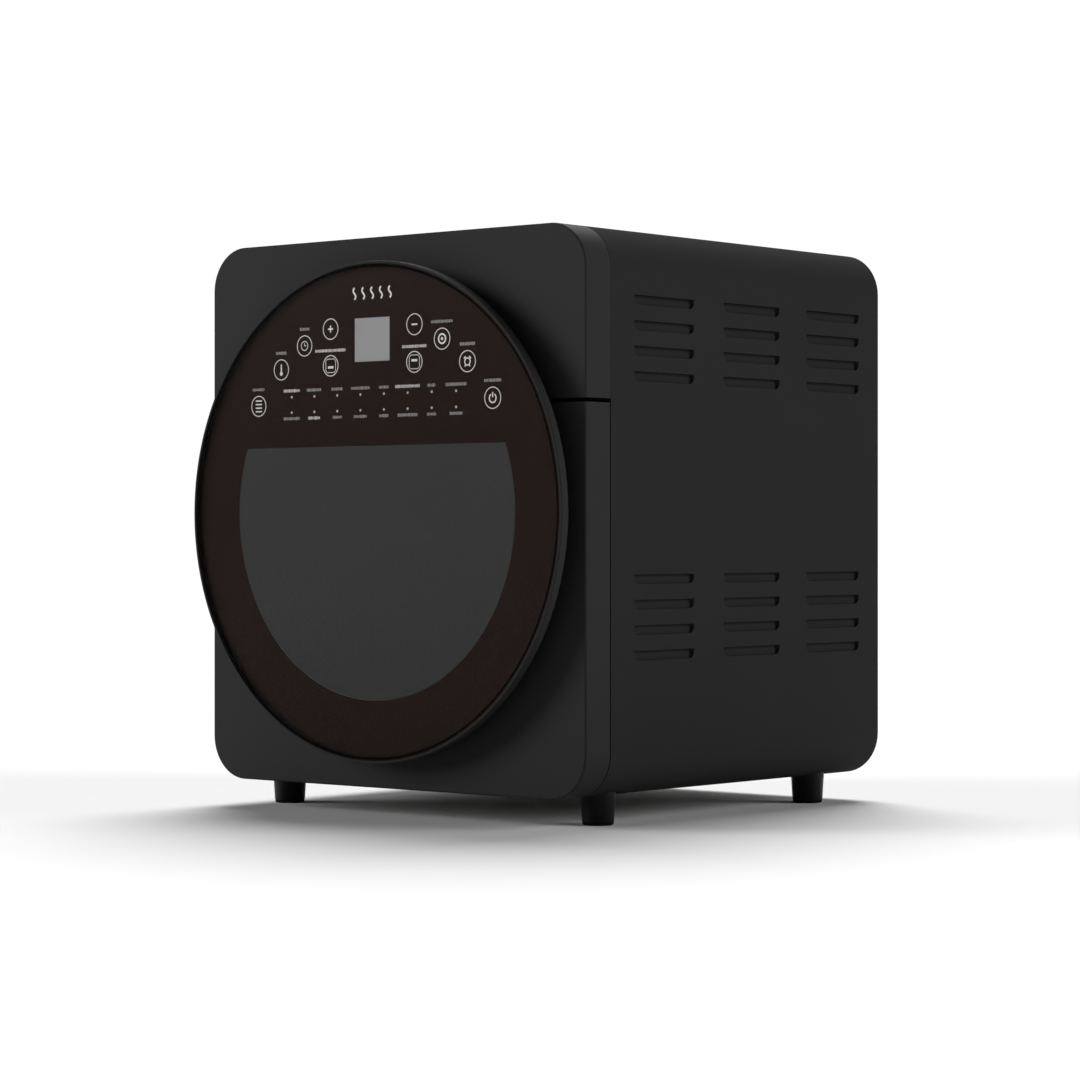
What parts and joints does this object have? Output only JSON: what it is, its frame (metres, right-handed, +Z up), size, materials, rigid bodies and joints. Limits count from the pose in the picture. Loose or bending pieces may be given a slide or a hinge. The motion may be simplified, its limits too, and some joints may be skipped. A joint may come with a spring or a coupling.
{
  "type": "toaster oven",
  "caption": "Upright countertop air oven: black sheet casing with louvres, round glass front on a drop-down door, touch controls, wire rack, rotisserie spit and top fan.",
  "frame": {"origin": "middle of the bounding box's underside, on the surface the feet stand on", "axes": "+X to the right of someone facing the door, +Y to the back, +Z up"},
  "size_m": [0.32, 0.34, 0.368],
  "materials": {
    "casing_paint": "satin black powder coat",
    "front_black": "satin black moulding",
    "rim_black": "smooth black moulding",
    "front_glass": "clear grey glass",
    "inner_glass": "clear oven glass",
    "print_black": "opaque dark ink",
    "display_grey": "grey display face",
    "guide_white": "milky light guide",
    "board_green": "lacquered circuit board",
    "contact_spring": "plated spring steel",
    "board_component": "moulded components",
    "steel_plain": "galvanised sheet",
    "liner_steel": "oven liner sheet",
    "screw_steel": "zinc-plated",
    "rack_chrome": "chrome-plated wire",
    "tube_heater": "oxidised heater sheath",
    "ceramic_white": "fired ceramic",
    "gasket_black": "silicone",
    "foot_plastic": "black moulding",
    "pad_rubber": "soft rubber",
    "fan_metal": "pressed sheet",
    "winding_copper": "enamelled copper winding",
    "mat_fibre": "mineral fibre mat",
    "lamp_glass": "clear glass",
    "magnet_dark": "sintered magnet",
    "lamp_cup": "spun cup"
  },
  "bodies": {
    "casing": {"outer_wrap": "casing_paint", "base_plate": "steel_plain", "feet": "foot_plastic", "foot_pads": "pad_rubber", "casing_screws": "screw_steel", "rear_cover": "casing_paint", "rear_spacers": "foot_plastic", "cord_gland": "foot_plastic", "fascia_plate": "front_black", "fascia_frame": "front_black", "hinge_brackets": "steel_plain", "front_frame": "liner_steel", "door_gasket": "gasket_black", "cavity_shell": "liner_steel", "lower_heaters": "tube_heater", "heater_insulators": "ceramic_white", "crumb_tray": "liner_steel", "fan_guard": "liner_steel", "upper_heater": "tube_heater", "air_plenum": "steel_plain", "motor_core": "steel_plain", "motor_coil": "winding_copper", "motor_bearings": "steel_plain", "motor_bridge": "steel_plain", "insulation_mats": "mat_fibre", "rotisserie_motor": "board_component", "spit_support": "steel_plain", "lamp_lens": "lamp_glass", "lamp_holder": "lamp_cup", "lamp_bulb": "lamp_glass", "temperature_probe": "steel_plain", "power_board": "board_green", "board_parts": "board_component", "board_bracket": "steel_plain", "door_magnets": "magnet_dark"},
    "door": {"door_plate": "front_black", "door_frame": "front_black", "door_glass_inner": "inner_glass", "door_liner": "liner_steel", "door_screws": "screw_steel", "hinge_blocks": "front_black", "hinge_pins": "steel_plain", "disc_rim": "rim_black", "disc_glass": "front_glass", "disc_print": "print_black", "disc_carrier": "front_black", "window_sleeve": "front_black", "touch_board": "board_green", "display_module": "display_grey", "touch_springs": "contact_spring", "light_guides": "guide_white"},
    "fan": {"convection_fan": "fan_metal", "cooling_fan": "fan_metal", "fan_shaft": "steel_plain", "motor_rotor": "fan_metal"},
    "spit": {"drive_socket": "steel_plain", "rotisserie_spit": "rack_chrome", "rotisserie_forks": "rack_chrome", "fork_screws": "screw_steel"},
    "rack": {"wire_rack": "rack_chrome"}
  },
  "joints": [
    {"name": "door_hinge", "type": "hinge", "parent": "casing", "child": "door", "pos_m": [0, -0.143, 0.03], "axis": [1, 0, 0], "range_deg": [0, 90]},
    {"name": "fan_spin", "type": "hinge", "parent": "casing", "child": "fan", "pos_m": [0, 0.008, 0.3], "axis": [0, 0, 1], "continuous": true},
    {"name": "spit_spin", "type": "hinge", "parent": "casing", "child": "spit", "pos_m": [0, -0.005, 0.157], "axis": [1, 0, 0], "continuous": true},
    {"name": "rack_slide", "type": "slide", "parent": "casing", "child": "rack", "axis": [0, -1, 0], "range_m": [0, 0.057]}
  ],
  "couplings": [
    {"joint": "rack_slide", "follows": "door_hinge", "m_per_rad": 0.036}
  ]
}
